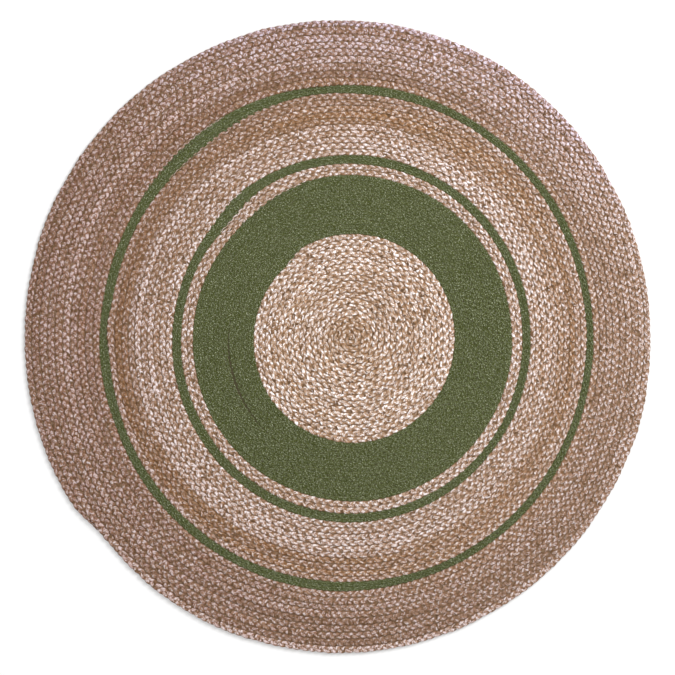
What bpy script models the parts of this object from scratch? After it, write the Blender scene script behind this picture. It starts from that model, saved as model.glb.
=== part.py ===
"""A round rug of flat plaits, coiled outward from the centre and sewn edge to edge.

The coil changes colour six times, so the rug is seven runs of plait: a round centre and six
rings. Each run is one flat solid that lies on the ground. The origin is the middle of the
rug's outline on the ground, +X to the right and +Y up as the rug is seen from above.
"""

import math

import bmesh
import bpy

MM = 0.001

JUTE_THICKNESS = 8.5 * MM
GREEN_THICKNESS = 7.5 * MM
GAP = 0.3 * MM  # between one run and the next
STATIONS = 96  # points round each edge

# The coil starts to the right of the outline's middle and a little below it.
COIL_X = 27.2 * MM
COIL_Y = -3.9 * MM

JUTE_EDGE_ROUND = 3.0 * MM
GREEN_EDGE_ROUND = 2.0 * MM
JUTE_EDGE_STEPS = 2
GREEN_EDGE_STEPS = 1

JUTE_COLOUR = (0.36, 0.24, 0.17, 1.0)
GREEN_COLOUR = (0.10, 0.115, 0.055, 1.0)
JUTE_ROUGHNESS = 0.7
GREEN_ROUGHNESS = 0.85

# One row for each edge between two runs, from the centre out, in mm and degrees round from +X.
# An edge works its way out as the coil does, by one plait's width ("step") a turn, and steps
# back in over the angle "splice" up to "join", where the colour changes or the plait ends.
# shift_x and shift_y move the edge, and oval_x and oval_y stretch it along X and the diagonal.
EDGE_COLUMNS = ("radius", "step", "join", "splice", "shift_x", "shift_y", "oval_x", "oval_y")
EDGES = {
    "centre_edge": (195.5, 10.5, 131, 12, 2.4, -2.6, -2.4, 0.9),
    "band_edge": (307.4, 10.1, 134, 26, -0.8, -2.3, -2.2, 0.0),
    "pair_edge": (329.9, 9.5, 141, 20, -1.7, -2.5, -2.7, 0.4),
    "inner_ring_edge": (346.0, 9.9, 143, 16, -2.7, -2.6, -3.1, 0.6),
    "middle_edge": (461.2, 9.9, 139, 32, -9.9, -1.4, -4.6, 0.3),
    "outer_ring_edge": (476.5, 10.5, 146, 26, -11.7, -1.1, -4.9, 0.1),
    "rim": (600.5, 9.0, 217, 6, -24.9, 1.5, -4.4, -0.2),
}

# The rim is pulled in round the plait's end.
RIM_DENT = 8.6 * MM
RIM_DENT_MIDDLE = 220.0
RIM_DENT_REACH = 20.0

# One row for each run: its inner edge, its outer edge and its yarn.
RUNS = {
    "jute_centre": (None, "centre_edge", "jute"),
    "green_band": ("centre_edge", "band_edge", "green"),
    "jute_pair": ("band_edge", "pair_edge", "jute"),
    "green_ring_inner": ("pair_edge", "inner_ring_edge", "green"),
    "jute_middle": ("inner_ring_edge", "middle_edge", "jute"),
    "green_ring_outer": ("middle_edge", "outer_ring_edge", "green"),
    "jute_border": ("outer_ring_edge", "rim", "jute"),
}


def clear_scene():
    for obj in list(bpy.data.objects):
        bpy.data.objects.remove(obj, do_unlink=True)


def ease(x):
    """0 before 0, 1 after 1, and smooth between them."""
    x = min(max(x, 0.0), 1.0)
    return x * x * (3.0 - 2.0 * x)


def edge_radius(name, degrees):
    """How far an edge is from the coil's start, in metres, in one direction."""
    edge = dict(zip(EDGE_COLUMNS, EDGES[name]))
    past_join = (degrees - edge["join"]) % 360.0
    dropped = ease(1.0 - (360.0 - past_join) / edge["splice"])
    turn = past_join / 360.0 - dropped - 0.5
    angle = math.radians(degrees)
    radius = (
        edge["radius"]
        + edge["step"] * turn
        + edge["shift_x"] * math.cos(angle)
        + edge["shift_y"] * math.sin(angle)
        + edge["oval_x"] * math.cos(2.0 * angle)
        + edge["oval_y"] * math.sin(2.0 * angle)
    ) * MM
    if name == "rim":
        radius -= RIM_DENT * ease(1.0 - abs(degrees % 360.0 - RIM_DENT_MIDDLE) / RIM_DENT_REACH)
    return radius


def edge_loop(bm, name, inset):
    """A closed loop of points along an edge, moved towards the centre by inset."""
    ring = bmesh.ops.create_circle(bm, segments=STATIONS, radius=1.0)["verts"]
    for vert in ring:
        angle = math.atan2(vert.co.y, vert.co.x)
        radius = edge_radius(name, math.degrees(angle)) - inset
        vert.co.x = COIL_X + radius * math.cos(angle)
        vert.co.y = COIL_Y + radius * math.sin(angle)
    return [edge for edge in bm.edges if edge.verts[0] in ring and edge.verts[1] in ring]


def flat_run(bm, inner, outer):
    """The run's underside, as faces on the ground."""
    outer_loop = edge_loop(bm, outer, GAP / 2.0)
    if inner is None:
        bmesh.ops.contextual_create(bm, geom=outer_loop)
        return
    inner_loop = edge_loop(bm, inner, -GAP / 2.0)
    bmesh.ops.bridge_loops(bm, edges=outer_loop + inner_loop)


def raise_run(bm, thickness, edge_round, edge_steps):
    """Gives the run its thickness and rounds its upper edges."""
    raised = bmesh.ops.extrude_face_region(bm, geom=list(bm.faces), use_keep_orig=True)
    top = [item for item in raised["geom"] if isinstance(item, bmesh.types.BMVert)]
    bmesh.ops.translate(bm, verts=top, vec=(0.0, 0.0, thickness))
    bmesh.ops.recalc_face_normals(bm, faces=list(bm.faces))
    upper_edges = [
        edge
        for edge in bm.edges
        if all(vert.co.z > thickness / 2.0 for vert in edge.verts)
        and any(abs(face.normal.z) < 0.5 for face in edge.link_faces)
    ]
    bmesh.ops.bevel(
        bm,
        geom=upper_edges,
        offset=edge_round,
        offset_type="OFFSET",
        affect="EDGES",
        segments=edge_steps,
        profile=0.5,
        material=-1,
    )


def yarn_material(name, colour, roughness):
    material = bpy.data.materials.new(name)
    material.use_nodes = True
    shader = material.node_tree.nodes["Principled BSDF"]
    shader.inputs["Base Color"].default_value = colour
    shader.inputs["Roughness"].default_value = roughness
    shader.inputs["Metallic"].default_value = 0.0
    return material


def make_run(name):
    """One run of the rug, as one closed solid."""
    inner, outer, yarn = RUNS[name]
    bm = bmesh.new()
    flat_run(bm, inner, outer)
    if yarn == "jute":
        raise_run(bm, JUTE_THICKNESS, JUTE_EDGE_ROUND, JUTE_EDGE_STEPS)
        material = yarn_material(name + "_yarn", JUTE_COLOUR, JUTE_ROUGHNESS)
    else:
        raise_run(bm, GREEN_THICKNESS, GREEN_EDGE_ROUND, GREEN_EDGE_STEPS)
        material = yarn_material(name + "_yarn", GREEN_COLOUR, GREEN_ROUGHNESS)
    mesh = bpy.data.meshes.new(name)
    bm.to_mesh(mesh)
    bm.free()
    mesh.shade_smooth()
    mesh.set_sharp_from_angle(angle=math.radians(40.0))
    mesh.materials.append(material)
    run = bpy.data.objects.new(name, mesh)
    bpy.context.scene.collection.objects.link(run)
    return run


def main():
    clear_scene()
    for name in RUNS:
        make_run(name)


main()
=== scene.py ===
"""The looks of a round rug: flat plaits of three strands, coiled outward and sewn edge to edge."""

import math

import bmesh
import bpy
import numpy as np
from mathutils import Matrix


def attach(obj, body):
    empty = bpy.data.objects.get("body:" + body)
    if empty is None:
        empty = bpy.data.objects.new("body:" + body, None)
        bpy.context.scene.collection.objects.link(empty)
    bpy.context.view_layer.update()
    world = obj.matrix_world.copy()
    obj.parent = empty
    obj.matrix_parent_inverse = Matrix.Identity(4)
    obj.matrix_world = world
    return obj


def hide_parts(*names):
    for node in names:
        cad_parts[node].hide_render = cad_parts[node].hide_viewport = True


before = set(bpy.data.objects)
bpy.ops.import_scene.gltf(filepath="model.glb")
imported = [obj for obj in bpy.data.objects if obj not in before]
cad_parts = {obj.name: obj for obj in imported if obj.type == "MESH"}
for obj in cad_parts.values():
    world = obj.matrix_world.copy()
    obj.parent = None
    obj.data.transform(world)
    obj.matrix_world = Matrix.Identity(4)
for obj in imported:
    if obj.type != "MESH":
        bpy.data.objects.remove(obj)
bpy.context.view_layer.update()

MM = 0.001

# ---------------------------------------------------------------------------------------------
# The coil. Lengths are metres. Directions are degrees anticlockwise from +X. A total angle goes
# on counting, turn after turn, from the coil's start to the end of its plait.
# ---------------------------------------------------------------------------------------------

COIL_X = 27.2 * MM
COIL_Y = -3.9 * MM
COIL_START = 131
LEAD_IN = 180  # degrees of plait in the coil's middle, before its first full turn

# One row for each run of plait, from the centre out. "ends_at" is the direction where it gives
# way to the next, and over "splice" before it the one thins out as the other begins beside it.
RUN_COLUMNS = ("node", "turns", "yarn", "repeat", "ends_at", "splice", "pieces")
RUN_ROWS = (
    ("jute_centre", 17, "jute", 48.7 * MM, 131, 12, 1),
    ("green_band", 12, "green", 31.5 * MM, 134, 26, 2),
    ("jute_pair", 2, "jute", 47.9 * MM, 141, 20, 1),
    ("green_ring_inner", 2, "green", 31.5 * MM, 143, 16, 1),
    ("jute_middle", 10, "jute", 47.2 * MM, 139, 32, 2),
    ("green_ring_outer", 2, "green", 31.5 * MM, 146, 26, 1),
    ("jute_border", 9, "jute", 42.9 * MM, 217, 6, 2),
)
RUNS = [dict(zip(RUN_COLUMNS, row)) for row in RUN_ROWS]

UNDERSIDE = 0.5 * MM  # a solid's corners below this are its underside's
EDGE_STEP = 3.75  # degrees between the corners of a solid's edge
COURSE_STEPS = 4  # places for each degree of a run's course

# The seam between rows is smoothed over a few degrees, up to a reach on each side. Then it
# wanders in and out, with a new draw every so many degrees: not at all at the coil's start, and
# most at the rim.
SEAM_SMOOTHING = 6.0
SEAM_SMOOTHING_REACH = 20
SEAM_SEED = 7
SEAM_SLOW_WANDER = 0.32 * MM
SEAM_SLOW_SPACING = 17.0
SEAM_QUICK_WANDER = 0.16 * MM
SEAM_QUICK_SPACING = 5.0
CALM_RADIUS = 120.0 * MM  # short of this there is less of both
RIM_RADIUS = 600.0 * MM
RIM_WANDER = 1.6  # how much more of both there is at the rim

# Two rows of the green band stand a little apart, to the left of the centre.
PARTED = 2.0 * MM  # each row's share of it
PARTED_MIDDLE = 200 + 22 * 360  # total angle of the seam between them
PARTED_REACH = 38  # degrees to each side

# To the left, beside the outer green ring, the last jute row bulges outward a little: the total
# angles of the seams that it moves, and how far.
BULGES = ((178 + 42 * 360, 2.0 * MM), (178 + 43 * 360, 5.0 * MM), (178 + 44 * 360, 2.0 * MM))
BULGE_REACH = 8  # degrees to each side

# A plait of each yarn: its thickness, one strand's width as a share of the plait's and its
# thickness, the degrees that a strand rolls over at the plait's edge, how far it presses into
# the next row's as a share of its half width, how far its fibres slip sideways, and how uneven
# its thickness is.
YARN_COLUMNS = ("thickness", "share", "strand_thickness", "roll", "overlap", "slip", "uneven")
YARNS = {
    "jute": dict(zip(YARN_COLUMNS, (8.5 * MM, 0.53, 4.7 * MM, 17.0, 0.22, 4.5 * MM, 0.13))),
    "green": dict(zip(YARN_COLUMNS, (7.5 * MM, 0.60, 4.8 * MM, 8.0, 0.42, 2.0 * MM, 0.05))),
}
LEAN = 0.3  # radians that a strand's rise and fall lag behind its sway from edge to edge
LOW_ROLL = 0.65  # about the share of its roll that a strand has where it lies lowest
STRANDS = 3
SPLICE_LEAST = 0.30  # how wide a plait still is where it ends in a splice, of its full width
PLAIT_END = 0.12  # and where the last one ends, at the rim
SWELL_MOST = 1.3  # how thick a strand may be, of its usual thickness
SWELL_SPACING = 2.5  # stops from one draw of a strand's thickness to the next
SWELL_SEED = 100
PACE_UNEVEN = 1.3 * MM  # how far a plait's crossings stray along it
PACE_STEPS = 12  # places in each repeat of the plait where that is set
PACE_DRAWS = 3.0  # and how many of its draws there are in each
PACE_SEED = 200

# A strand's stops, as shares of half a repeat, and its outline, of its half width and thickness.
STRAND_STOPS = (0.0, 0.17, 0.34, 0.51, 0.75)
STOP_MARGIN = 0.05  # how near a strand's end a stop may be, of half a repeat
STRAND_OUTLINE = ((1.0, 0.0), (0.6, -0.94), (-0.6, -0.94), (-1.0, 0.0), (-0.6, 0.94), (0.6, 0.94))


def ease(x):
    """0 before 0, 1 after 1, and smooth between them."""
    x = np.clip(x, 0.0, 1.0)
    return x * x * (3.0 - 2.0 * x)


def wander(count, spacing, rng):
    """Random values about 0 that change smoothly along a list, with a new draw every spacing."""
    draws = rng.standard_normal(int(count / spacing) + 3)
    place = np.arange(count) / spacing
    before = place.astype(int)
    share = ease(place - before)
    return draws[before] * (1.0 - share) + draws[before + 1] * share


def edge_radii(node):
    """How far a solid's outer edge is from the coil's start, for each whole degree."""
    corners = np.array([vert.co[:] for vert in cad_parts[node].data.vertices])
    low = corners[corners[:, 2] < UNDERSIDE]
    across, up = low[:, 0] - COIL_X, low[:, 1] - COIL_Y
    radius = np.hypot(across, up)
    station = np.rint(np.degrees(np.arctan2(up, across)) / EDGE_STEP) % (360.0 / EDGE_STEP)
    outer = [radius[station == number].max() for number in np.unique(station)]
    return np.interp(np.arange(360.0), np.unique(station) * EDGE_STEP, outer, period=360.0)


def run_joins():
    """The total angles where the coil starts and where each run of it ends."""
    joins, turns = [COIL_START], 0
    for run in RUNS:
        turns += run["turns"]
        joins.append(run["ends_at"] + 360 * turns)
    return joins


def known_turns(joins):
    """The seam over the turn after each join: it follows the outer edge of the run that ended."""
    edges = [edge_radii(run["node"]) for run in RUNS]
    turn = np.arange(360)
    row = edges[0] / RUNS[0]["turns"]
    known = [row[(COIL_START + turn) % 360] * turn / 360.0]
    for edge, join in zip(edges, joins[1:]):
        known.append(edge[(join + turn) % 360])
    for index in range(1, len(known)):
        # The edge steps back in before the join, but the seam goes on outward past it.
        splice = RUNS[index - 1]["splice"]
        here = known[index][0]
        if index + 1 < len(known):
            rows = math.ceil((joins[index + 1] - joins[index]) / 360)
            beyond = known[index + 1][(joins[index] - joins[index + 1]) % 360]
            after = here + (beyond - here) / rows
        else:
            rows = (joins[index] - joins[index - 1]) // 360
            within = known[index - 1][(joins[index] - joins[index - 1]) % 360]
            after = here + (here - within) / rows
        before = known[index][-splice - 1]
        known[index][-splice:] = np.linspace(before, after, splice + 2)[1:-1]
    return known


def lay_out_seam(joins):
    """How far the seam between rows is from the coil's start, for each degree of total angle."""
    known = known_turns(joins)
    angles = np.arange(joins[0], joins[-1] + 360)
    seam = np.empty(len(angles))
    for place, angle in enumerate(angles):
        index = max(i for i, join in enumerate(joins) if angle >= join)
        since = (angle - joins[index]) // 360
        seam[place] = known[index][(angle - joins[index]) % 360]
        if since > 0:
            until = math.ceil((joins[index + 1] - angle) / 360)
            beyond = known[index + 1][(angle - joins[index + 1]) % 360]
            seam[place] += (beyond - seam[place]) * since / (since + until)
    reach = np.arange(-SEAM_SMOOTHING_REACH, SEAM_SMOOTHING_REACH + 1)
    weight = np.exp(-0.5 * (reach / SEAM_SMOOTHING) ** 2)
    padded = np.pad(seam, SEAM_SMOOTHING_REACH, mode="reflect", reflect_type="odd")
    seam = np.convolve(padded, weight / weight.sum(), mode="valid")
    rng = np.random.default_rng(SEAM_SEED)
    off_centre = ease(seam / CALM_RADIUS) + RIM_WANDER * ease(seam / RIM_RADIUS) ** 4
    seam += SEAM_SLOW_WANDER * off_centre * wander(len(seam), SEAM_SLOW_SPACING, rng)
    seam += SEAM_QUICK_WANDER * off_centre * wander(len(seam), SEAM_QUICK_SPACING, rng)
    for middle, push in BULGES:
        seam += push * ease(1.0 - np.abs(angles - middle) / BULGE_REACH)
    return angles, np.maximum(seam, 0.0)


JOINS = run_joins()
SEAM_ANGLES, SEAM = lay_out_seam(JOINS)


def seam_at(angles):
    """How far the seam is from the coil's start."""
    return np.interp(angles, SEAM_ANGLES, SEAM)


def parted_at(angles):
    """How far each of the two rows at a seam is pulled away from it."""
    return PARTED * ease(1.0 - np.abs(angles - PARTED_MIDDLE) / PARTED_REACH)


# The jute's colour changes along the coil, lot by lot. Turns are counted from the coil's start.
# "gold" is how golden the jute is, from pinkish at 0 and below to golden brown at 1, "light" is
# how light it is, about 0, and "uneven" is how much both stray.
LOT_COLUMNS = ("turn", "gold", "light", "uneven")
LOT_ROWS = (
    (0.0, 0.50, -0.70, 0.2),
    (1.7, 0.40, -0.50, 0.2),
    (3.5, 0.25, 0.05, 0.4),
    (8.0, 0.15, 0.15, 0.5),
    (16.5, 0.10, 0.20, 0.5),
    (31.0, 0.00, 0.05, 0.4),
    (33.5, 0.00, 0.45, 0.6),
    (36.5, 0.10, 0.45, 0.8),
    (38.5, 0.35, 0.25, 1.0),
    (40.0, 0.65, -0.15, 1.0),
    (41.7, 0.75, -0.20, 1.0),
    (42.3, 0.10, 0.20, 0.4),
    (45.4, 0.35, 0.15, 0.4),
    (46.2, 0.05, -0.10, 0.9),
    (48.0, -0.10, 0.00, 1.0),
    (51.0, -0.05, -0.05, 1.0),
    (55.0, -0.10, -0.15, 0.8),
)
LOTS = dict(zip(LOT_COLUMNS, np.array(LOT_ROWS).T))
LOT_SEED = 1213
LOT_GOLD_UNEVEN = 0.27
LOT_GOLD_SPACING = 70.0  # degrees from one draw to the next
LOT_LIGHT_UNEVEN = 0.50
LOT_LIGHT_SPACING = 80.0


def lay_out_lots():
    """How golden and how light the jute is, for each degree of total angle."""
    turns = (SEAM_ANGLES - COIL_START) / 360.0
    gold = np.interp(turns, LOTS["turn"], LOTS["gold"])
    light = np.interp(turns, LOTS["turn"], LOTS["light"])
    uneven = np.interp(turns, LOTS["turn"], LOTS["uneven"])
    rng = np.random.default_rng(LOT_SEED)
    gold += LOT_GOLD_UNEVEN * uneven * wander(len(turns), LOT_GOLD_SPACING, rng)
    light += LOT_LIGHT_UNEVEN * uneven * wander(len(turns), LOT_LIGHT_SPACING, rng)
    return np.clip(gold, 0.0, 1.0), np.clip(light, -1.0, 1.0)


LOT_GOLD, LOT_LIGHT = lay_out_lots()


def run_course(index):
    """The course of one run of plait: its total angles, middle, width and length so far."""
    first = JOINS[index] - (RUNS[index - 1]["splice"] if index else LEAD_IN)
    last = JOINS[index + 1]
    angles = np.linspace(first, last, COURSE_STEPS * (last - first) + 1)
    inner = seam_at(angles) + parted_at(angles)
    outer = seam_at(angles + 360.0) - parted_at(angles + 360.0)
    inner[angles < COIL_START] = 0.0
    width = outer - inner
    if index:
        begun = ease((angles - first) / (JOINS[index] - first))
        inner = outer - width * (SPLICE_LEAST + (1.0 - SPLICE_LEAST) * begun)
    left = ease((last - angles) / RUNS[index]["splice"])
    least = SPLICE_LEAST if index + 1 < len(RUNS) else PLAIT_END
    outer = inner + (outer - inner) * (least + (1.0 - least) * left)
    middle = (inner + outer) / 2.0
    step = np.hypot(np.diff(middle), np.radians(np.diff(angles)) * middle[1:])
    length = np.concatenate(([0.0], np.cumsum(step)))
    return angles, middle, outer - inner, length


# ---------------------------------------------------------------------------------------------
# The strands
# ---------------------------------------------------------------------------------------------


def strand_outline(half_width, half_thickness):
    """The closed outline that a strand's tube is drawn with, clockwise so that it faces out."""
    curve = bpy.data.curves.new("strand_outline", "CURVE")
    curve.dimensions = "2D"
    spline = curve.splines.new("POLY")
    spline.points.add(len(STRAND_OUTLINE) - 1)
    for point, (across, up) in zip(spline.points, STRAND_OUTLINE):
        point.co = (across * half_width, up * half_thickness, 0.0, 1.0)
    spline.use_cyclic_u = True
    outline = bpy.data.objects.new("strand_outline", curve)
    bpy.context.scene.collection.objects.link(outline)
    return outline


def drop(obj):
    """Removes a helper curve that has served its purpose."""
    curve = obj.data
    bpy.data.objects.remove(obj, do_unlink=True)
    bpy.data.curves.remove(curve)


def strand_tube(places, swell, roll, outline):
    """The mesh of one strand: a closed tube through its places."""
    curve = bpy.data.curves.new("strand", "CURVE")
    curve.dimensions = "3D"
    curve.twist_mode = "Z_UP"
    curve.bevel_mode = "OBJECT"
    curve.bevel_object = outline
    curve.use_fill_caps = True
    spline = curve.splines.new("POLY")
    spline.points.add(len(places) - 1)
    spline.points.foreach_set("co", np.column_stack((places, np.ones(len(places)))).ravel())
    spline.points.foreach_set("radius", swell)
    spline.points.foreach_set("tilt", roll)
    strand = bpy.data.objects.new("strand", curve)
    bpy.context.scene.collection.objects.link(strand)
    depsgraph = bpy.context.evaluated_depsgraph_get()
    mesh = bpy.data.meshes.new_from_object(strand.evaluated_get(depsgraph))
    drop(strand)
    return mesh


def strand_stops(phase_start, phase_end):
    """The phases of a strand's stops, from one end of the run to the other."""
    halves = np.arange(math.floor(phase_start / math.pi), math.ceil(phase_end / math.pi))
    stops = (halves[:, None] + np.array(STRAND_STOPS)[None, :]).ravel() * math.pi
    margin = STOP_MARGIN * math.pi
    inside = stops[(stops > phase_start + margin) & (stops < phase_end - margin)]
    return np.concatenate(([phase_start], inside, [phase_end]))


def strand_stand(yarn, plait_width):
    """How far up and down a strand reaches from its middle where it lies lowest, rolled over."""
    roll = math.radians(LOW_ROLL * yarn["roll"])
    across, up = STRAND_OUTLINE[-1]
    half_width = yarn["share"] * plait_width / 2.0
    half_thickness = yarn["strand_thickness"] / 2.0
    return across * half_width * math.sin(roll) + up * half_thickness * math.cos(roll)


def plait_pace(index, repeats):
    """How far the crossings stray along a run of plait, for each step of its repeats."""
    steps = np.arange(repeats * PACE_STEPS + 1)
    rng = np.random.default_rng(PACE_SEED + index)
    stray = wander(len(steps), PACE_STEPS / PACE_DRAWS, rng)
    to_an_end = np.minimum(steps, steps[-1] - steps) / PACE_STEPS
    return PACE_UNEVEN * stray * ease(to_an_end)


def plait_strand(index, strand, course, rng):
    """One strand of a run: its stops' places, swell, roll, length along, lie and yarn lot."""
    run = RUNS[index]
    yarn = YARNS[run["yarn"]]
    angles, middle, width, length = course
    repeats = round(length[-1] / run["repeat"])
    offset = 2.0 * math.pi * strand / STRANDS
    phase = strand_stops(offset, 2.0 * math.pi * repeats + offset)
    repeat = (phase - offset) / (2.0 * math.pi)
    pace = plait_pace(index, repeats)
    along = repeat / repeats * length[-1]
    along += np.interp(repeat * PACE_STEPS, np.arange(len(pace)), pace)
    angle = np.interp(along, length, angles)
    plait = np.interp(angle, angles, width)
    usual = np.median(width)
    swell = plait / usual * (1.0 + yarn["uneven"] * wander(len(phase), SWELL_SPACING, rng))
    swell = np.minimum(swell, SWELL_MOST)
    half = yarn["share"] * plait / 2.0
    sway = plait / 2.0 - half * (1.0 - yarn["overlap"])
    out = np.interp(angle, angles, middle) + sway * np.sin(phase)
    rise = yarn["thickness"] / 2.0 - swell * strand_stand(yarn, usual)
    height = yarn["thickness"] / 2.0 + rise * np.sin(2.0 * phase - LEAN)
    turn = np.radians(angle)
    places = np.column_stack(
        (COIL_X + out * np.cos(turn), COIL_Y + out * np.sin(turn), height)
    )
    roll = math.radians(yarn["roll"]) * np.sin(phase)
    lie = np.column_stack((np.sin(phase), np.sin(2.0 * phase - LEAN)))
    lot = np.column_stack(
        (np.interp(angle, SEAM_ANGLES, LOT_GOLD), np.interp(angle, SEAM_ANGLES, LOT_LIGHT))
    )
    return places, swell, roll, along, lie, lot


def share_out(count, pieces):
    """Splits a strand's stops between pieces, which share the stop where they meet."""
    ends = [round(count * piece / pieces) for piece in range(pieces + 1)]
    return [slice(first, last + 1) for first, last in zip(ends, ends[1:])]


# A piece's maps. "strand" runs along each strand and round it, "lie" holds how far out and how
# high the strand is, and "lot" its yarn. "OFBake" lays every face out apart from the others: the
# tubes in rows, one tile from each stop to the next, and the caps in one row more.
STRAND_GIRTH = 16.0 * MM  # once round a strand in its map
STRAND_APART = 4.0  # girths from one strand's map to the next one's
TILE_SHAPE = 0.28  # a tile's usual length, as a share of its height
TILE_MARGIN = 0.04  # above and below a tile, as a share of its row
CAP_ENDS = (0.1, 0.9)  # where a strand's caps begin and end, in its part of their row
CAP_LOW = 0.2
CAP_HIGH = 0.8

JOINED = 0.001 * MM  # points nearer than this are one
SHARP_FROM = 80.0  # degrees between two faces


def map_strand(mesh, number, strand, coil_length, laid, rows, columns):
    """Gives one strand's tube its maps. Its tiles come after those that are laid already."""
    along, lie, lot = strand[3:]
    stops = len(along)
    sides = len(STRAND_OUTLINE)
    count = len(mesh.loops)
    drawn = np.empty(count * 2)
    mesh.uv_layers[0].data.foreach_get("uv", drawn)
    around = drawn[1::2].copy()

    # The tube's maker lists the corners of both caps first, three to a face. Then come those of
    # the tube, four to a face and a ring of faces from each stop to the next.
    caps = 2 * (sides - 2) * 3
    cap_corners = np.arange(caps)
    stop = np.rint(drawn[0::2] * (stops - 1)).astype(int)
    stop[:caps] = 0
    segment = np.clip((np.arange(count) - caps) // (4 * sides), 0, stops - 2)

    girth = STRAND_GIRTH * (around + STRAND_APART * number)
    strand_map = np.column_stack((coil_length + along[stop], girth))
    tile = laid + segment
    tile_height = TILE_MARGIN + (1.0 - 2.0 * TILE_MARGIN) * around
    bake_map = np.column_stack(
        (
            (tile % columns + stop - segment) / columns,
            (tile // columns + tile_height) / (rows + 1),
        )
    )
    bake_map[:caps, 0] = (number + np.linspace(*CAP_ENDS, caps)) / STRANDS
    cap_height = np.where(cap_corners % 3 == 1, CAP_HIGH, CAP_LOW)
    bake_map[:caps, 1] = (rows + cap_height) / (rows + 1)

    mesh.uv_layers[0].name = "strand"
    mesh.uv_layers["strand"].data.foreach_set("uv", strand_map.ravel())
    mesh.uv_layers.new(name="lie").data.foreach_set("uv", lie[stop].ravel())
    mesh.uv_layers.new(name="lot").data.foreach_set("uv", lot[stop].ravel())
    mesh.uv_layers.new(name="OFBake").data.foreach_set("uv", bake_map.ravel())


def plait_piece(name, strands, outline, material, coil_length):
    """Three strands as one piece, with their maps."""
    bm = bmesh.new()
    total = sum(len(strand[0]) - 1 for strand in strands)
    rows = max(1, round(math.sqrt(total * TILE_SHAPE)))
    columns = math.ceil(total / rows)
    laid = 0
    for number, strand in enumerate(strands):
        places, swell, roll = strand[:3]
        mesh = strand_tube(places, swell, roll, outline)
        map_strand(mesh, number, strand, coil_length, laid, rows, columns)
        bm.from_mesh(mesh)
        bpy.data.meshes.remove(mesh)
        laid += len(places) - 1
    bmesh.ops.remove_doubles(bm, verts=list(bm.verts), dist=JOINED)
    mesh = bpy.data.meshes.new(name)
    bm.to_mesh(mesh)
    bm.free()
    mesh.shade_smooth()
    mesh.set_sharp_from_angle(angle=math.radians(SHARP_FROM))
    mesh.materials.append(material)
    piece = bpy.data.objects.new(name, mesh)
    bpy.context.scene.collection.objects.link(piece)
    return piece


def make_run(index, material, coil_length):
    """All the pieces of one run of plait, and the run's length."""
    run = RUNS[index]
    yarn = YARNS[run["yarn"]]
    course = run_course(index)
    rng = np.random.default_rng(SWELL_SEED + index)
    strands = [plait_strand(index, strand, course, rng) for strand in range(STRANDS)]
    half_width = yarn["share"] * np.median(course[2]) / 2.0
    outline = strand_outline(half_width, yarn["strand_thickness"] / 2.0)
    pieces = []
    for number in range(run["pieces"]):
        parts = []
        for strand in strands:
            part = share_out(len(strand[0]) - 1, run["pieces"])[number]
            parts.append(tuple(values[part] for values in strand))
        letter = "_" + "ab"[number] if run["pieces"] > 1 else ""
        piece = plait_piece(run["node"] + "_plait" + letter, parts, outline, material, coil_length)
        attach(piece, "root")
        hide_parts(run["node"])
        pieces.append(piece)
    drop(outline)
    return pieces, course[3][-1]


# ---------------------------------------------------------------------------------------------
# A sheet of painted shade under the strands
# ---------------------------------------------------------------------------------------------

SHADE_SHEET_LOW = 2.8 * MM  # how high its underside is
SHADE_SHEET_THICKNESS = 2.2 * MM
SHADE_SHEET_INSET = 3.5 * MM  # from the rim
SHADE_SHEET_CORNERS = 180  # points round each ring


def set_ring(ring, radii):
    """Moves a ring of points out or in, each to the radius for its own direction."""
    for vert in ring:
        turn = math.atan2(vert.co.y - COIL_Y, vert.co.x - COIL_X)
        radius = radii[round(math.degrees(turn)) % 360]
        vert.co.x = COIL_X + radius * math.cos(turn)
        vert.co.y = COIL_Y + radius * math.sin(turn)


def make_shade_sheet(jute, green):
    """A thin sheet inside the rug's thickness, painted dark as the shade at the bottom of the
    grooves.
    """
    bm = bmesh.new()
    middle = Matrix.Translation((COIL_X, COIL_Y, SHADE_SHEET_LOW))
    ring = bmesh.ops.create_circle(
        bm, segments=SHADE_SHEET_CORNERS, radius=RIM_RADIUS, matrix=middle
    )["verts"]
    set_ring(ring, edge_radii(RUNS[0]["node"]))
    edges = list(bm.edges)
    bmesh.ops.contextual_create(bm, geom=edges)
    for run in RUNS[1:]:
        grown = bmesh.ops.extrude_edge_only(bm, edges=edges)["geom"]
        ring = [item for item in grown if isinstance(item, bmesh.types.BMVert)]
        edges = [item for item in grown if isinstance(item, bmesh.types.BMEdge)]
        edges = [edge for edge in edges if edge.verts[0] in ring and edge.verts[1] in ring]
        for face in [item for item in grown if isinstance(item, bmesh.types.BMFace)]:
            face.material_index = 0 if run["yarn"] == "jute" else 1
        set_ring(ring, edge_radii(run["node"]) - (SHADE_SHEET_INSET if run is RUNS[-1] else 0.0))
    raised = bmesh.ops.extrude_face_region(bm, geom=list(bm.faces), use_keep_orig=True)
    top = [item for item in raised["geom"] if isinstance(item, bmesh.types.BMVert)]
    bmesh.ops.translate(bm, verts=top, vec=(0.0, 0.0, SHADE_SHEET_THICKNESS))
    bmesh.ops.recalc_face_normals(bm, faces=list(bm.faces))
    mesh = bpy.data.meshes.new("rug_shade_sheet")
    bm.to_mesh(mesh)
    bm.free()
    mesh.materials.append(jute)
    mesh.materials.append(green)
    shade_sheet = bpy.data.objects.new("rug_shade_sheet", mesh)
    bpy.context.scene.collection.objects.link(shade_sheet)
    return shade_sheet


# ---------------------------------------------------------------------------------------------
# Materials
# ---------------------------------------------------------------------------------------------

WHITE = (1.0, 1.0, 1.0, 1.0)
FLOOR_WHITE = (0.9, 0.9, 0.9, 1.0)
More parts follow.
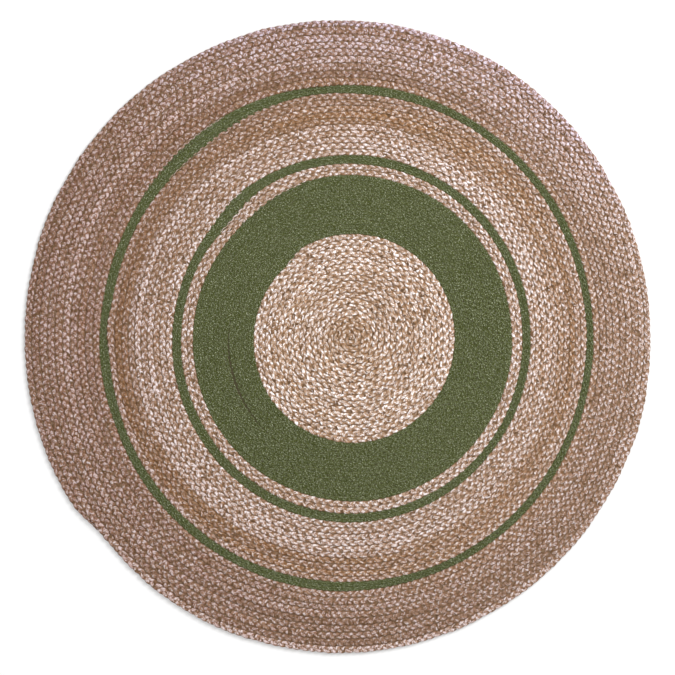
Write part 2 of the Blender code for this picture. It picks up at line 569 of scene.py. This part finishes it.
# Painted shade: the colours of the dark sheet that stands for the shade at the bottom of the
# grooves, under jute and under green.
JUTE_SHADE_SHEET = (0.24, 0.15, 0.085, 1.0)
GREEN_SHADE_SHEET = (0.056, 0.046, 0.018, 1.0)
DULL = 0.9  # the roughness of the floor and of what lies in the grooves

# Jute is blended between two yarns, pinkish first and golden second: its colour deep between the
# fibres and in painted shade where a strand lies low or dips into a seam, out on the fibres, and
# in a painted highlight where a fibre glints.
JUTE_DEEP_AND_SHADE = ((0.175, 0.082, 0.020, 1.0), (0.175, 0.068, 0.012, 1.0))
JUTE_PALE = ((0.65, 0.435, 0.305, 1.0), (0.58, 0.345, 0.17, 1.0))
JUTE_PAINTED_GLINT = ((1.0, 0.97, 1.0, 1.0), (0.98, 0.92, 0.88, 1.0))
JUTE_KNOT = (0.14, 0.075, 0.035, 1.0)
JUTE_BROWNED = (0.52, 0.415, 0.395, 1.0)  # how much darker and browner each colour goes, at its most
JUTE_GREY_AND_SHADE = (0.70, 0.65, 0.78, 1.0)  # and how much greyer and bluer at the top, and in the band of painted shade at the rim
JUTE_FLECKS = {
    "Fleck Length": 5.5 * MM,
    "Fleck Width": 1.8 * MM,
    "Fleck Edge": 0.10,
    "Patchiness": 0.03,
}
JUTE_GLOSS = 0.2  # specular level
JUTE_ROUGHNESS = (0.65, 0.36)  # of plain fibres and of glints
JUTE_BUMP = (0.6, 0.5 * MM)  # strength and distance

# How a strand's lift, from -1 at its lowest to 1 on top, sets what level of noise makes a fleck of
# painted highlight, more of them on top, and how light its fibres are, with painted shade where it
# lies low. A lighter yarn has more flecks and a golden one fewer.
FLECK_LIFT = (-0.3, 0.9)
FLECK_LEVEL = (0.62, 0.465)
FLECK_LEVEL_LIGHT = -0.035
FLECK_LEVEL_GOLD = 0.03
SHADE_LIFT = (-0.8, 0.5)
SHADE = (0.15, 1.0)
FIBRE_LEAST = 0.12
FIBRE_WEIGHT = 0.5
MOTTLE_WEIGHT = 0.35
SEAM_SHADE = 0.75  # how much darker a strand is where it dips into a seam
JUTE_BRIGHTNESS = 0.98
LIGHT_WEIGHT = 0.13
JUTE_TONE_WEIGHT = 0.10

GREEN_DEEP = (0.017, 0.022, 0.001, 1.0)
GREEN_PALE = (0.098, 0.113, 0.028, 1.0)
GREEN_FLECK = (0.47, 0.50, 0.36, 1.0)
GREEN_FLECKS = {
    "Fleck Length": 2.3 * MM,
    "Fleck Width": 1.3 * MM,
    "Fleck Level": 0.57,
    "Fleck Edge": 0.06,
}
GREEN_FIBRES = (0.1, 0.9)  # the fibres' own range that goes from deep to pale
GREEN_TONE_WEIGHT = 0.06
GREEN_GLOSS = 0.2
GREEN_ROUGHNESS = 0.85
GREEN_BUMP = (0.4, 0.3 * MM)

# Streaks of noise in a strand: their length along it and their width across it.
TONE_SIZE = (42.0 * MM, 40.0 * MM)
THREAD_SIZE = (14.0 * MM, 0.45 * MM)
MOTTLE_SIZE = (5.0 * MM, 2.4 * MM)
KNOT_SIZE = (9.0 * MM, 6.5 * MM)
NOISE_ROUGHNESS = 0.6
FINE_FLECK_LENGTH = 0.42  # of a broad fleck's
FINE_FLECK_WIDTH = 0.40
FINE_FLECK_SHARE = 0.40  # how much the fine ones count

# The range of the noise, or of a point's place round its strand, over which each effect sets in.
TONE_RANGE = (0.3, 0.7)
MOTTLE_RANGE = (0.30, 0.68)
KNOT_RANGE = (0.735, 0.775)
# Where a strand's top takes the painted highlight.
CROWN_RANGE = (0.1, -0.8)
# Where a strand dips into a seam and takes painted shade.
SEAM_RANGE = (0.15, 0.85)

# Away from the coil's start the jute goes darker and browner, more so the further left, and in
# patches.
# At the top the outer rows go greyer and bluer, those next to the rim most, where a band of
# painted shade lies on the rim.
BROWN_OUTWARD = (0.22, 0.50)  # metres from the coil's start
LEFT = (-1.0, 0.0, 0.0)
BROWN_LEFTWARD = (-0.6, 0.5)  # metres to the left
BROWN_SHARE = (0.48, 0.89)
BROWN_PATCHES = 0.25
TOP = (0.26, 0.97, 0.0)
GREY_UPWARD = (0.32, 0.50)  # metres that way
GREY_OUTER = (0.48, 0.60)  # metres from the rug's middle
GREY_OUTER_MOST = 0.6
# Painted shade: a band at the rim, at the top, darker and bluer.
RIM_PAINTED_SHADE = (0.585, 0.602)
RIM_PAINTED_SHADE_MOST = 0.4


def plain_material(name, colour, roughness):
    """A material of one colour."""
    material = bpy.data.materials.new(name)
    material.use_nodes = True
    shader = material.node_tree.nodes["Principled BSDF"]
    shader.inputs["Base Color"].default_value = colour
    shader.inputs["Roughness"].default_value = roughness
    return material


def add(tree, kind, inputs=None, **settings):
    """Adds a node. Its inputs are given as values, or as the outputs that feed them."""
    made = tree.nodes.new(kind)
    for name, value in settings.items():
        setattr(made, name, value)
    for key, value in (inputs or {}).items():
        if isinstance(value, bpy.types.NodeSocket):
            tree.links.new(value, made.inputs[key])
        else:
            made.inputs[key].default_value = value
    return made


def maths(tree, operation, *values):
    """One step of arithmetic."""
    inputs = dict(enumerate(values))
    return add(tree, "ShaderNodeMath", inputs, operation=operation).outputs[0]


def map_range(tree, value, taken, given):
    """Maps the taken range evenly to the given one, and keeps inside it."""
    inputs = {
        "Value": value,
        "From Min": taken[0],
        "From Max": taken[1],
        "To Min": given[0],
        "To Max": given[1],
    }
    return add(tree, "ShaderNodeMapRange", inputs).outputs[0]


def own_map(tree, name):
    """One of a piece's own maps, as its two values."""
    found = add(tree, "ShaderNodeUVMap", uv_map=name).outputs[0]
    parts = add(tree, "ShaderNodeSeparateXYZ", {0: found}).outputs
    return parts["X"], parts["Y"]


def stretched_noise(tree, x, y, length, width, detail):
    """Noise in streaks of a length along the strand and a width across it."""
    along = maths(tree, "DIVIDE", x, length)
    across = maths(tree, "DIVIDE", y, width)
    place = add(tree, "ShaderNodeCombineXYZ", {"X": along, "Y": across}).outputs[0]
    noise = add(
        tree,
        "ShaderNodeTexNoise",
        {"Vector": place, "Scale": 1.0, "Detail": detail, "Roughness": NOISE_ROUGHNESS},
        noise_dimensions="2D",
    )
    return noise.outputs[0]


def sharpen(tree, value, low, high):
    """0 below low, 1 above high, and smooth between them."""
    steps = add(
        tree,
        "ShaderNodeMapRange",
        {"Value": value, "From Min": low, "From Max": high},
        interpolation_type="SMOOTHSTEP",
    )
    return steps.outputs[0]


def make_strand_fibres():
    """A strand's fibres: flecks, threads, mottling, tone and knots, its top where painted
    highlights go, and where it dips into a seam, for painted shade.
    """
    group = bpy.data.node_groups.new("strand_fibres", "ShaderNodeTree")
    sockets = (
        ("Map", "INPUT", "NodeSocketVector"),
        ("Across", "INPUT", "NodeSocketFloat"),
        ("Slip", "INPUT", "NodeSocketFloat"),
        ("Fleck Length", "INPUT", "NodeSocketFloat"),
        ("Fleck Width", "INPUT", "NodeSocketFloat"),
        ("Fleck Level", "INPUT", "NodeSocketFloat"),
        ("Fleck Edge", "INPUT", "NodeSocketFloat"),
        ("Patchiness", "INPUT", "NodeSocketFloat"),
        ("Flecks", "OUTPUT", "NodeSocketFloat"),
        ("Fibres", "OUTPUT", "NodeSocketFloat"),
        ("Mottle", "OUTPUT", "NodeSocketFloat"),
        ("Crown Highlight", "OUTPUT", "NodeSocketFloat"),
        ("Seam", "OUTPUT", "NodeSocketFloat"),
        ("Tone", "OUTPUT", "NodeSocketFloat"),
        ("Knots", "OUTPUT", "NodeSocketFloat"),
    )
    for name, direction, kind in sockets:
        group.interface.new_socket(name, in_out=direction, socket_type=kind)
    given = group.nodes.new("NodeGroupInput").outputs
    result = group.nodes.new("NodeGroupOutput").inputs
    place = add(group, "ShaderNodeSeparateXYZ", {0: given["Map"]}).outputs
    x, across = place["X"], given["Across"]
    back = maths(group, "MULTIPLY", given["Slip"], -1.0)
    y = maths(group, "MULTIPLY_ADD", back, across, place["Y"])

    tones = stretched_noise(group, x, y, *TONE_SIZE, detail=2.0)
    tone = map_range(group, tones, TONE_RANGE, (-1.0, 1.0))
    group.links.new(tone, result["Tone"])

    length, width = given["Fleck Length"], given["Fleck Width"]
    patches = stretched_noise(group, x, y, length, width, detail=2.0)
    finer_length = maths(group, "MULTIPLY", length, FINE_FLECK_LENGTH)
    finer_width = maths(group, "MULTIPLY", width, FINE_FLECK_WIDTH)
    fine = stretched_noise(group, x, y, finer_length, finer_width, detail=1.0)
    blend = {"Factor": FINE_FLECK_SHARE, 2: patches, 3: fine}
    mixed = add(group, "ShaderNodeMix", blend).outputs[0]
    above = maths(group, "SUBTRACT", mixed, given["Fleck Level"])
    above = maths(group, "MULTIPLY_ADD", tone, given["Patchiness"], above)
    share = maths(group, "DIVIDE", above, given["Fleck Edge"])
    group.links.new(sharpen(group, share, 0.0, 1.0), result["Flecks"])

    threads = stretched_noise(group, x, y, *THREAD_SIZE, detail=2.0)
    group.links.new(threads, result["Fibres"])
    shades = stretched_noise(group, x, y, *MOTTLE_SIZE, detail=1.0)
    group.links.new(sharpen(group, shades, *MOTTLE_RANGE), result["Mottle"])

    # A strand's top, where painted highlights go, and where it dips into a seam, where painted
    # shade goes.
    around = maths(group, "MULTIPLY", place["Y"], 2.0 * math.pi / STRAND_GIRTH)
    down = maths(group, "SINE", around)
    group.links.new(map_range(group, down, CROWN_RANGE, (0.0, 1.0)), result["Crown Highlight"])
    outward = maths(group, "MULTIPLY", maths(group, "COSINE", around), across)
    group.links.new(sharpen(group, outward, *SEAM_RANGE), result["Seam"])

    knots = stretched_noise(group, x, y, *KNOT_SIZE, detail=0.0)
    group.links.new(sharpen(group, knots, *KNOT_RANGE), result["Knots"])
    return group


def blend_colours(tree, factor, first, second, mode="MIX"):
    """The first colour at a factor of 0, and at 1 the second or, by mode, both together."""
    mix = add(tree, "ShaderNodeMix", {"Factor": factor, 6: first, 7: second}, data_type="RGBA")
    mix.blend_type = mode
    return mix.outputs[2]


def new_yarn(name, fibres, slip, flecks):
    """A new material with the strand's fibres in it, and how high the strand lies."""
    material = bpy.data.materials.new(name)
    material.use_nodes = True
    tree = material.node_tree
    strand_map = add(tree, "ShaderNodeUVMap", uv_map="strand").outputs[0]
    yarn = add(tree, "ShaderNodeGroup", node_tree=fibres)
    tree.links.new(strand_map, yarn.inputs["Map"])
    across, lift = own_map(tree, "lie")
    tree.links.new(across, yarn.inputs["Across"])
    yarn.inputs["Slip"].default_value = slip
    for socket, value in flecks.items():
        yarn.inputs[socket].default_value = value
    return material, tree, tree.nodes["Principled BSDF"], yarn, lift


def add_bump(tree, shader, height, strength, distance):
    """Raises the surface in the shader's light, not in its mesh."""
    inputs = {"Height": height, "Strength": strength, "Distance": distance}
    bump = add(tree, "ShaderNodeBump", inputs).outputs[0]
    tree.links.new(bump, shader.inputs["Normal"])


def make_jute(fibres):
    """Natural jute: tan fibres with pale flecks, painted highlights on the strands' tops, and
    painted shade, browner, where a strand lies low or dips into a seam.
    """
    slip = YARNS["jute"]["slip"]
    material, tree, shader, yarn, lift = new_yarn("jute_yarn", fibres, slip, JUTE_FLECKS)
    gold, light = own_map(tree, "lot")
    level = map_range(tree, lift, FLECK_LIFT, FLECK_LEVEL)
    level = maths(tree, "MULTIPLY_ADD", light, FLECK_LEVEL_LIGHT, level)
    level = maths(tree, "MULTIPLY_ADD", gold, FLECK_LEVEL_GOLD, level)
    tree.links.new(level, yarn.inputs["Fleck Level"])
    out = yarn.outputs

    # Painted shade: darker fibres where the strand lies low and where it dips into a seam.
    raised = map_range(tree, lift, SHADE_LIFT, SHADE)
    seam_painted_shade = maths(tree, "MULTIPLY_ADD", out["Seam"], -SEAM_SHADE, 1.0)
    fibre = maths(tree, "MULTIPLY_ADD", out["Fibres"], FIBRE_WEIGHT, FIBRE_LEAST)
    fibre = maths(tree, "MULTIPLY_ADD", out["Mottle"], MOTTLE_WEIGHT, fibre)
    fibre = maths(tree, "MULTIPLY", fibre, raised)
    fibre = maths(tree, "MULTIPLY", fibre, seam_painted_shade)
    deep = blend_colours(tree, gold, *JUTE_DEEP_AND_SHADE)
    pale = blend_colours(tree, gold, *JUTE_PALE)
    body = blend_colours(tree, fibre, deep, pale)

    # Painted highlight: pale glints where the flecks meet the strand's top, fewer in a seam.
    painted_highlight = maths(tree, "MULTIPLY", out["Flecks"], out["Crown Highlight"])
    painted_highlight = maths(tree, "MULTIPLY", painted_highlight, seam_painted_shade)
    painted_glint = blend_colours(tree, gold, *JUTE_PAINTED_GLINT)
    flecked = blend_colours(tree, painted_highlight, body, painted_glint)

    tone = maths(tree, "MULTIPLY_ADD", light, LIGHT_WEIGHT, JUTE_BRIGHTNESS)
    tone = maths(tree, "MULTIPLY_ADD", out["Tone"], JUTE_TONE_WEIGHT, tone)
    toned = blend_colours(tree, 1.0, flecked, tone, "MULTIPLY")
    darkening = blend_colours(tree, 1.0, toned, tone_and_rim_shade(tree, out["Tone"]), "MULTIPLY")
    knotted = blend_colours(tree, out["Knots"], darkening, JUTE_KNOT)
    tree.links.new(knotted, shader.inputs["Base Color"])
    roughness = map_range(tree, painted_highlight, (0.0, 1.0), JUTE_ROUGHNESS)
    tree.links.new(roughness, shader.inputs["Roughness"])
    shader.inputs["Specular IOR Level"].default_value = JUTE_GLOSS
    add_bump(tree, shader, out["Fibres"], *JUTE_BUMP)
    return material


def tone_and_rim_shade(tree, tone):
    """What is left of a colour: less on the outer rows, to the left and at the top, and at the top
    of the rim a band of painted shade.
    """
    place = add(tree, "ShaderNodeTexCoord").outputs["Object"]
    start = (COIL_X, COIL_Y, 0.0)
    away = add(tree, "ShaderNodeVectorMath", {0: place, 1: start}, operation="DISTANCE")
    outer = map_range(tree, away.outputs["Value"], BROWN_OUTWARD, (0.0, 1.0))
    side = add(tree, "ShaderNodeVectorMath", {0: place, 1: LEFT}, operation="DOT_PRODUCT")
    darkening = map_range(tree, side.outputs["Value"], BROWN_LEFTWARD, BROWN_SHARE)
    patchy = maths(tree, "MULTIPLY_ADD", tone, BROWN_PATCHES, 1.0)
    browning = maths(tree, "MULTIPLY", maths(tree, "MULTIPLY", outer, darkening), patchy)
    browned = blend_colours(tree, browning, WHITE, JUTE_BROWNED)
    height = add(tree, "ShaderNodeVectorMath", {0: place, 1: TOP}, operation="DOT_PRODUCT")
    upper = map_range(tree, height.outputs["Value"], GREY_UPWARD, (0.0, 1.0))
    middle = add(tree, "ShaderNodeVectorMath", {0: place}, operation="LENGTH")
    broad = map_range(tree, middle.outputs["Value"], GREY_OUTER, (0.0, GREY_OUTER_MOST))
    # Painted shade in a band at the rim.
    rim = map_range(tree, middle.outputs["Value"], RIM_PAINTED_SHADE, (0.0, RIM_PAINTED_SHADE_MOST))
    share = maths(tree, "MULTIPLY", maths(tree, "ADD", broad, rim), upper)
    return blend_colours(tree, share, browned, JUTE_GREY_AND_SHADE)


def make_green(fibres):
    """Olive green yarn: matt and finely flecked."""
    slip = YARNS["green"]["slip"]
    material, tree, shader, yarn, _ = new_yarn("green_yarn", fibres, slip, GREEN_FLECKS)
    out = yarn.outputs
    threads = map_range(tree, out["Fibres"], GREEN_FIBRES, (0.0, 1.0))
    body = blend_colours(tree, threads, GREEN_DEEP, GREEN_PALE)
    flecked = blend_colours(tree, out["Flecks"], body, GREEN_FLECK)
    tone = maths(tree, "MULTIPLY_ADD", out["Tone"], GREEN_TONE_WEIGHT, 1.0)
    toned = blend_colours(tree, 1.0, flecked, tone, "MULTIPLY")
    tree.links.new(toned, shader.inputs["Base Color"])
    shader.inputs["Specular IOR Level"].default_value = GREEN_GLOSS
    shader.inputs["Roughness"].default_value = GREEN_ROUGHNESS
    add_bump(tree, shader, out["Fibres"], *GREEN_BUMP)
    return material


# ---------------------------------------------------------------------------------------------
# The view, the light and the floor
# ---------------------------------------------------------------------------------------------

PICTURE_FIELD = 1.286  # how wide the picture is, in metres at the rug's top
PICTURE_X = 0.5 * MM
PICTURE_Y = -2.2 * MM
RUG_TOP = 8.0 * MM
LENS = 85.0
SENSOR = 36.0

WINDOW_PLACE = (1.7, 1.5, 2.1)
WINDOW_SIZE = 1.6
WINDOW_POWER = 60.0
STUDIO_STRENGTH = 0.9
FLOOR_REACH = 4.0  # metres to each side


def make_camera():
    """Straight down over the rug."""
    data = bpy.data.cameras.new("above")
    data.lens = LENS
    data.sensor_width = SENSOR
    camera = bpy.data.objects.new("above", data)
    camera.location = (PICTURE_X, PICTURE_Y, PICTURE_FIELD * LENS / SENSOR + RUG_TOP)
    bpy.context.scene.collection.objects.link(camera)
    bpy.context.scene.camera = camera


def make_light():
    """A window's soft light from the upper right, in a white studio."""
    data = bpy.data.lights.new("window", "AREA")
    data.shape = "DISK"
    data.size = WINDOW_SIZE
    data.energy = WINDOW_POWER
    light = bpy.data.objects.new("window", data)
    light.location = WINDOW_PLACE
    aim = light.location.normalized()
    light.rotation_euler = aim.to_track_quat("Z", "Y").to_euler()
    bpy.context.scene.collection.objects.link(light)
    world = bpy.data.worlds.new("studio")
    world.use_nodes = True
    background = world.node_tree.nodes["Background"]
    background.inputs["Color"].default_value = WHITE
    background.inputs["Strength"].default_value = STUDIO_STRENGTH
    bpy.context.scene.world = world
    bpy.context.scene.view_settings.view_transform = "Standard"


def make_floor():
    """The plain floor that the rug lies on."""
    bm = bmesh.new()
    bmesh.ops.create_grid(bm, x_segments=2, y_segments=2, size=FLOOR_REACH)
    mesh = bpy.data.meshes.new("floor")
    bm.to_mesh(mesh)
    bm.free()
    mesh.materials.append(plain_material("floor_white", FLOOR_WHITE, DULL))
    floor = bpy.data.objects.new("floor", mesh)
    bpy.context.scene.collection.objects.link(floor)


# ---------------------------------------------------------------------------------------------
# The rug
# ---------------------------------------------------------------------------------------------

make_camera()
make_light()
make_floor()

strand_fibres = make_strand_fibres()
jute_yarn = make_jute(strand_fibres)
green_yarn = make_green(strand_fibres)
# Painted shade, for the sheet at the bottom of the grooves.
jute_painted_shade = plain_material("jute_painted_shade", JUTE_SHADE_SHEET, DULL)
green_painted_shade = plain_material("green_painted_shade", GREEN_SHADE_SHEET, DULL)

plaits, coil_length = [], 0.0
for number, run in enumerate(RUNS):
    yarn_material = jute_yarn if run["yarn"] == "jute" else green_yarn
    run_pieces, run_length = make_run(number, yarn_material, coil_length)
    plaits += run_pieces
    coil_length += run_length

# The sheet of painted shade at the bottom of the grooves.
shade_sheet = make_shade_sheet(jute_painted_shade, green_painted_shade)
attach(shade_sheet, "root")
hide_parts(*[run["node"] for run in RUNS])
